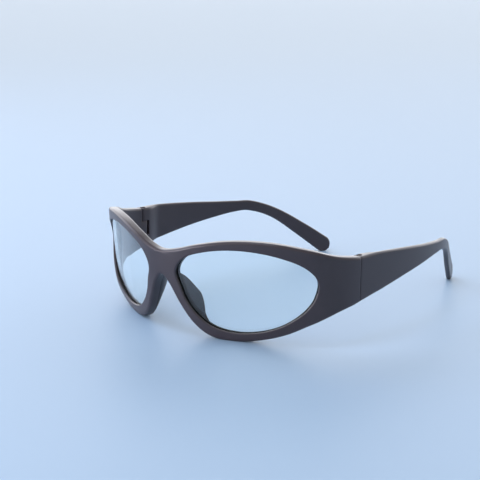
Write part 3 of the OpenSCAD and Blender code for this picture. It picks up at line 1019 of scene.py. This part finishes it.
@dataclass
class NosePad:
    """One bonded nose pad: a flange that flares away from the nose."""

    reach: float = 5.8
    flare: float = 5.4
    root: float = 2.8
    bond_t: float = 0.05
    start: float = 0.02
    # Where it starts and ends along the bend, as shares of the bridge's gap
    first: float = 0.05
    last: float = 1.2
    rings_n: int = 90
    # Steps from one row of the section to the next, and across the strip along the rim
    curve_n: int = 4
    strip_n: int = 16
    # Rows of the share of the way down, and the shares of the root, the reach and the flare
    form: Spline = Spline((
        (0, 0.6, 0.4, 0.1), (0.08, 0.85, 0.67, 0.32), (0.17, 1, 0.86, 0.55),
        (0.26, 1, 0.99, 0.8), (0.34, 1, 1, 1), (0.42, 1, 0.85, 1), (0.5, 1, 0.64, 0.9),
        (0.58, 1, 0.46, 0.73), (0.68, 1, 0.34, 0.56), (0.78, 0.95, 0.27, 0.44),
        (0.88, 0.85, 0.2, 0.32), (1, 0.45, 0.05, 0.05),
    ))
    # The section's free sides, as shares of the root, the flare and the reach, from the nose side
    # round the free edge to the rim
    outline: tuple[Point, ...] = (
        (0, 0, 0), (0, 0.01, 0.14), (0.01, 0.1, 0.36), (0.03, 0.3, 0.6), (0.08, 0.56, 0.82),
        (0.18, 0.84, 0.96), (0.34, 1, 1), (0.47, 0.98, 0.94), (0.52, 0.82, 0.83),
        (0.54, 0.55, 0.68), (0.6, 0.3, 0.47), (0.72, 0.1, 0.25), (0.88, 0.01, 0.08), (1, 0, 0),
    )

    def section(self) -> list[Point]:
        """The section's outline with its curves filled in, and the strip along the rim.

        Returns:
            Shares of the root, the flare and the reach.
        """
        n = self.curve_n
        fine = Spline(tuple((i, *p) for i, p in enumerate(self.outline)))
        places = [i / n for i in range(n * (len(self.outline) - 1) + 1)]
        curve = [tuple(fine.at(place, c) for c in (1, 2, 3)) for place in places]
        return curve + [(1 - i / self.strip_n, 0.0, 0.0) for i in range(1, self.strip_n)]

    def build(self, side: Side, material: bpy.types.Material) -> bpy.types.Object:
        """Build the pad for one side.

        Args:
            side: the wearer's side.
            material: the pad's material.

        Returns:
            The pad.
        """
        outline, low, gap = self.section(), SHEET.low, SHEET.bridge_gap
        rings = []
        for j in range(self.rings_n + 1):
            f = j / self.rings_n
            s = mix(gap * self.first, gap * self.last, f)
            slope = low.slope(s)
            size = math.hypot(1, slope)
            across = (-slope / size, 1 / size)
            wide, reach, flare = (
                full * self.form.at(f, c)
                for full, c in ((self.root, 1), (self.reach, 2), (self.flare, 3))
            )
            ring = []
            for share, out, deep in outline:
                go = self.start + share * wide
                root = (s + across[0] * go, low.at(s) + across[1] * go)
                place = (root[0] + across[0] * out * flare, root[1] + across[1] * out * flare)
                base = SHEET.front_d(root[0]) - SHEET.edge_depth(*root) + self.bond_t
                ring.append(SHEET.at(*place, base + deep * reach))
            rings.append(ring)
        points = [p for ring in rings for p in ring]
        obj = solid(f"nose_pad_{side.word}_flange", points, loft(rings), side, sharp=50.0)
        return settle(obj, material, "front", f"nose_pad_{side.word}")


# ---- the temples ----


@dataclass
class Temple:
    """One folding temple: a tapering bar, its fork and its screw's recess."""

    screw_r: float = 0.7
    fork_gap: float = 0.1
    head_r: float = 1.25
    head_t: float = 1.0
    head_sunk: float = 0.6
    seat_gap: float = 0.05
    insert_r: float = 1.22
    insert_len: float = 3.4
    arc_n: int = 7
    flat_n: int = 10
    seam_n: int = 4
    round_n: int = 14
    # The rounded edges' largest shares of the thickness and of half the height
    edge_share: float = 0.42
    rise_share: float = 0.98
    # How far round the tip the last ring stands, in degrees: the small flat closes the mesh
    round_to: float = 87.0
    rings_per_mm: float = 0.9
    # The cutting shapes reach this far out, and below and above the temple, and overlap
    far_out: float = 40.0
    below: float = -9.0
    above: float = 60.0
    overlap: float = 1.0

    def tip_line(self, s: float) -> float:
        """Height of the straight line that the tip lies along."""
        return SHEET.tip_z + (SHEET.tip_s - s) * math.tan(math.radians(SHEET.tip_drop))

    def rows(self) -> Spline:
        """Rows of the way along, the middle's height, half the height and the tilt.

        Returns:
            The smooth curves through the rows.
        """
        pin, bend, tip = SHEET.pin_s, SHEET.bend_s, SHEET.tip_len
        z, h, b = SHEET.hinge_z, SHEET.hinge_h, SHEET.bend_h
        drop = SHEET.tip_drop
        return Spline((
            (SHEET.seam_s, z, h / 2, 0.0),
            (pin + SHEET.arm_len * 0.17, z + 0.95, h / 2 - 1.1, 0.0),
            (pin + SHEET.arm_len * 0.5, z + 1.6, mix(h, b, 0.53) / 2, 0.0),
            (pin + SHEET.arm_len * 0.8, z + 1.7, mix(h, b, 0.84) / 2, -0.1 * drop),
            (bend, z + 1.7, b / 2, -0.4 * drop),
            (bend + tip * 0.185, self.tip_line(bend + tip * 0.185) - 6, b / 2 - 0.2, -0.7 * drop),
            (bend + tip * 0.46, self.tip_line(bend + tip * 0.46) - 1, b / 2 - 0.1, -drop),
            (bend + tip * 0.78, self.tip_line(bend + tip * 0.78), SHEET.tip_r - 0.5, -drop),
            (SHEET.tip_s, SHEET.tip_z, SHEET.tip_r, -drop),
        ))

    def ring(self, s: float, z: float, half: float, tilt: float, span: Point) -> list[Point]:
        """One ring: a rounded rectangle across the bar.

        Args:
            s: the way along the bend of the ring's middle.
            z: the height of the ring's middle.
            half: half the ring's height.
            tilt: how far the ring leans, in degrees.
            span: the depths of the outer and the inner face.

        Returns:
            The ring's points in space.
        """
        r = min(SHEET.edge_r, self.edge_share * (span[1] - span[0]))
        k = min(1.0, self.rise_share * half / r)
        turns = [math.radians(90 * i / self.arc_n) for i in range(self.arc_n + 1)]
        quarter = [(r * (1 - math.cos(a)) * k, r * (1 - math.sin(a))) for a in turns]
        up = [(half - q[0], q[1]) for q in quarter]
        straight = half - quarter[-1][0]
        flat = [(mix(straight, -straight, i / self.flat_n), 0.0) for i in range(1, self.flat_n)]
        line = up + flat + [(-x, d) for x, d in reversed(up)]
        loop = [(x, span[0] + d) for x, d in line] + [(x, span[1] - d) for x, d in reversed(line)]
        lean = math.radians(tilt)
        return [SHEET.at(s - x * math.sin(lean), z + x * math.cos(lean), d) for x, d in loop]

    def rings(self) -> list[list[Point]]:
        """The rings from the rounded seam edge to the round tip.

        Returns:
            The rings, cut flat where the tip rests.
        """
        rows = self.rows()
        start = SHEET.seam_s + SHEET.seam_gap
        rings = []
        for i in range(self.seam_n + 1):
            e = SHEET.seam_r * (1 - math.cos(math.radians(90 * i / self.seam_n)))
            s, inset = start + e, arc_depth(e, SHEET.seam_r)
            rings.append(self.ring(
                s, rows.at(s, 1), rows.at(s, 2) - inset, 0.0, (inset, SHEET.temple_d(s) - inset)
            ))
        first = start + SHEET.seam_r
        count = int((SHEET.tip_s - first) * self.rings_per_mm)
        for i in range(1, count + 1):
            s = mix(first, SHEET.tip_s, i / count)
            rings.append(self.ring(
                s, rows.at(s, 1), rows.at(s, 2), rows.at(s, 3), (0.0, SHEET.temple_d(s))
            ))
        drop = math.radians(SHEET.tip_drop)
        for i in range(1, self.round_n + 1):
            a = math.radians(mix(0, self.round_to, i / self.round_n))
            out = SHEET.tip_r * math.sin(a)
            rings.append(self.ring(
                SHEET.tip_s + out * math.cos(drop), SHEET.tip_z - out * math.sin(drop),
                SHEET.tip_r * math.cos(a), -SHEET.tip_drop, (0.0, SHEET.arm_d),
            ))
        return [[(x, y, max(z, 0.0)) for x, y, z in ring] for ring in rings]

    def tools(self, side: Side) -> list[bpy.types.Object]:
        """The shapes that cut the fork, its round corner and the screw's holes.

        Args:
            side: the wearer's side.

        Returns:
            The closed shapes to cut away.
        """
        far, r, more = self.far_out, SHEET.knuckle_r, self.overlap
        pocket = r + SHEET.pocket_gap
        low = SHEET.hinge_z - SHEET.tongue_h / 2 - SHEET.tongue_gap
        high = low + SHEET.tongue_h + 2 * SHEET.tongue_gap
        seat = SHEET.hinge_z + SHEET.hinge_h / 2 - self.head_sunk - self.head_t - self.seat_gap
        swing = [(pocket, -far)] + arc(pocket, 0, 90, 12) + [(-far, pocket), (-far, -far)]
        corner = [(-far, -far), (0, -far)] + arc(r, -90, -180, 16) + [(-far, 0)]
        # Each has its outline seen from above, its foot and its top
        shapes = {
            "pocket": (swing, low, high),
            "corner": (corner, self.below, self.above),
            "shank": (arc(self.screw_r + self.fork_gap, 0, 345, 23), high - more, seat + more),
            "recess": (arc(self.head_r + self.fork_gap, 0, 352.5, 47), seat, self.above),
            "socket": (arc(self.insert_r, 0, 352.5, 47), low - self.insert_len, low + more),
        }
        tools = []
        for word, (outline, bottom, top) in shapes.items():
            placed = [(x + SHEET.pin[0], y + SHEET.pin[1]) for x, y in outline]
            tools.append(solid(f"{word}_tool", *prism(placed, bottom, top), side))
        return tools

    def build(self, side: Side, material: bpy.types.Material) -> bpy.types.Object:
        """Build the temple for one side.

        Args:
            side: the wearer's side.
            material: the temple's material.

        Returns:
            The temple, cut for its tongue, screw and insert.
        """
        rings = self.rings()
        points = [p for ring in rings for p in ring]
        obj = solid(f"temple_{side.word}_bar", points, loft(rings), side)
        cut(obj, self.tools(side))
        return settle(obj, material, f"{side.word}_temple", f"temple_{side.word}")


# ---- the hinges' metal parts ----


class HingeMetal(Enum):
    """The hinge's metal pieces, whose CAD shapes are right as they are.

    The screw has a slotted cheese head on a plain shank. The threaded insert is pressed into the
    lower arm of the fork.
    """

    SCREW = "hinge_screw"
    INSERT = "hinge_insert"

    def dress(self, side: Side, material: bpy.types.Material) -> None:
        """Give one CAD piece its material, and report it.

        Args:
            side: the wearer's side.
            material: the metal.
        """
        obj = frame["nodes"][f"{self.value}_{side.word}"]
        obj.data.materials.clear()
        obj.data.materials.append(material)
        LOG.info("%s keeps its CAD shape", obj.name)


# ---- the studio ----


@dataclass(frozen=True)
class Panel:
    """One square soft light, in millimetres and watts, turned to the glasses."""

    name: str
    place: Point
    size: float
    power: float
    colour: str

    def hang(self) -> None:
        """Make the light."""
        data = bpy.data.lights.new(self.name, "AREA")
        data.shape, data.size, data.energy = "SQUARE", self.size * MM, self.power
        data.color = linear(self.colour)[:3]
        light = bpy.data.objects.new(self.name, data)
        light.location = Vector(self.place) * MM
        light.rotation_euler = (-light.location).to_track_quat("-Z", "Y").to_euler()
        bpy.context.scene.collection.objects.link(light)


@dataclass
class Studio:
    """The pale floor, the soft light and the camera."""

    floor_r: float = 8000.0
    floor_z: float = -0.02
    # The camera's aim, its angles in degrees round the glasses, and the small turns of its aim
    target: Point = (0.0, 40.0, 18.0)
    azimuth: float = 42.97
    elevation: float = 15.21
    distance: float = 497.7
    yaw: float = 0.58
    pitch: float = 1.63
    roll: float = 0.57
    focal: float = 84.98
    sensor: float = 36.0
    nearest: float = 0.01
    # The strength of the dim room and of the bright backdrop, and their colour
    room: float = 0.5
    backdrop: float = 3.1
    sky: str = "#fafbff"
    # The backdrop comes in between these shares of straight behind the glasses, and goes out
    # between these shares of straight up
    comes_in: Point = (0.1, 0.8)
    goes_out: Point = (0.3, 0.75)
    panels: tuple[Panel, ...] = (
        Panel("key", (-800.0, -150.0, 650.0), 400.0, 1.6, "#c6daff"),
        Panel("top", (-50.0, -320.0, 900.0), 300.0, 1.5, "#cfe0ff"),
        Panel("back", (100.0, 1200.0, 700.0), 1000.0, 0.8, "#b8d0ff"),
        Panel("side", (-450.0, -850.0, 200.0), 400.0, 5.0, "#f6f2ff"),
    )

    def floor(self, material: bpy.types.Material) -> None:
        """Lay the round floor.

        Args:
            material: the floor's material.
        """
        ring = [(x, y, self.floor_z) for x, y in arc(self.floor_r, 0, 355, 71)]
        mesh = bpy.data.meshes.new("floor")
        points = [tuple(c * MM for c in p) for p in ring]
        mesh.from_pydata(points, [], [tuple(range(len(points)))])
        floor = bpy.data.objects.new("floor", mesh)
        bpy.context.scene.collection.objects.link(floor)
        mesh.materials.append(material)

    def camera(self) -> None:
        """Set up the camera at the photograph's viewing angle."""
        a, e = math.radians(self.azimuth), math.radians(self.elevation)
        back = Vector((math.sin(a) * math.cos(e), -math.cos(a) * math.cos(e), math.sin(e)))
        target = Vector((self.target[0], self.target[1] - SHEET.mid_y, self.target[2]))
        ahead, right = -back, Vector((math.cos(a), math.sin(a), 0))
        up = right.cross(ahead)
        yaw, pitch, roll = (math.radians(v) for v in (self.yaw, self.pitch, self.roll))
        ahead, right = (
            ahead * math.cos(yaw) + right * math.sin(yaw),
            right * math.cos(yaw) - ahead * math.sin(yaw),
        )
        ahead, up = (
            ahead * math.cos(pitch) + up * math.sin(pitch),
            up * math.cos(pitch) - ahead * math.sin(pitch),
        )
        right, up = (
            right * math.cos(roll) + up * math.sin(roll),
            up * math.cos(roll) - right * math.sin(roll),
        )
        data = bpy.data.cameras.new("camera")
        data.lens, data.sensor_width, data.clip_start = self.focal, self.sensor, self.nearest
        camera = bpy.data.objects.new("camera", data)
        turn = Matrix((right, up, -ahead)).transposed().to_4x4()
        camera.matrix_world = Matrix.Translation((target + back * self.distance) * MM) @ turn
        bpy.context.scene.collection.objects.link(camera)
        bpy.context.scene.camera = camera

    def light(self) -> None:
        """Light the glasses from a bright low backdrop behind them, a dim room and soft panels."""
        world = bpy.data.worlds.new("studio")
        bpy.context.scene.world = world
        world.use_nodes = True
        tree = world.node_tree
        tree.nodes.clear()
        a = math.radians(self.azimuth)
        way = node(tree, "ShaderNodeTexCoord", {}, {}).outputs["Generated"]
        ahead = node(
            tree, "ShaderNodeVectorMath",
            {"operation": "DOT_PRODUCT", 1: (-math.sin(a), math.cos(a), 0.0)}, {0: way},
        )
        behind = node(
            tree, "ShaderNodeMapRange",
            {
                "interpolation_type": "SMOOTHSTEP",
                "From Min": self.comes_in[0], "From Max": self.comes_in[1],
            },
            {"Value": ahead.outputs["Value"]},
        )
        height = node(tree, "ShaderNodeSeparateXYZ", {}, {0: way})
        low = node(
            tree, "ShaderNodeMapRange",
            {
                "interpolation_type": "SMOOTHSTEP", "To Min": 1.0, "To Max": 0.0,
                "From Min": self.goes_out[0], "From Max": self.goes_out[1],
            },
            {"Value": height.outputs["Z"]},
        )
        backdrop = node(
            tree, "ShaderNodeMath", {"operation": "MULTIPLY"},
            {0: behind.outputs["Result"], 1: low.outputs["Result"]},
        )
        strength = node(
            tree, "ShaderNodeMapRange", {"To Min": self.room, "To Max": self.backdrop},
            {"Value": backdrop.outputs["Value"]},
        )
        sky = node(
            tree, "ShaderNodeBackground", {"Color": linear(self.sky)},
            {"Strength": strength.outputs["Result"]},
        )
        node(tree, "ShaderNodeOutputWorld", {}, {"Surface": sky.outputs["Background"]})
        for panel in self.panels:
            panel.hang()


def main() -> None:
    """Build and finish the glasses, then the studio round them."""
    logging.basicConfig(level=logging.INFO, format="%(message)s")
    bpy.context.scene.view_settings.view_transform = "Standard"
    looks, studio = Finishes(), Studio()
    studio.camera()
    nylon, pad_nylon_painted_shade, clear = (f.material() for f in (looks.frame, looks.pad, looks.lens))
    steel, brass = looks.screw.material(), looks.insert.material()
    front, pad, temple = Front(), NosePad(), Temple()
    front.shell(nylon)
    for side in Side:
        front.tongue(side, nylon)
        front.lens(side, clear)
        pad.build(side, pad_nylon_painted_shade)
        temple.build(side, nylon)
        HingeMetal.SCREW.dress(side, steel)
        HingeMetal.INSERT.dress(side, brass)
    studio.floor(looks.floor.material())
    studio.light()


if __name__ == "__main__":
    main()
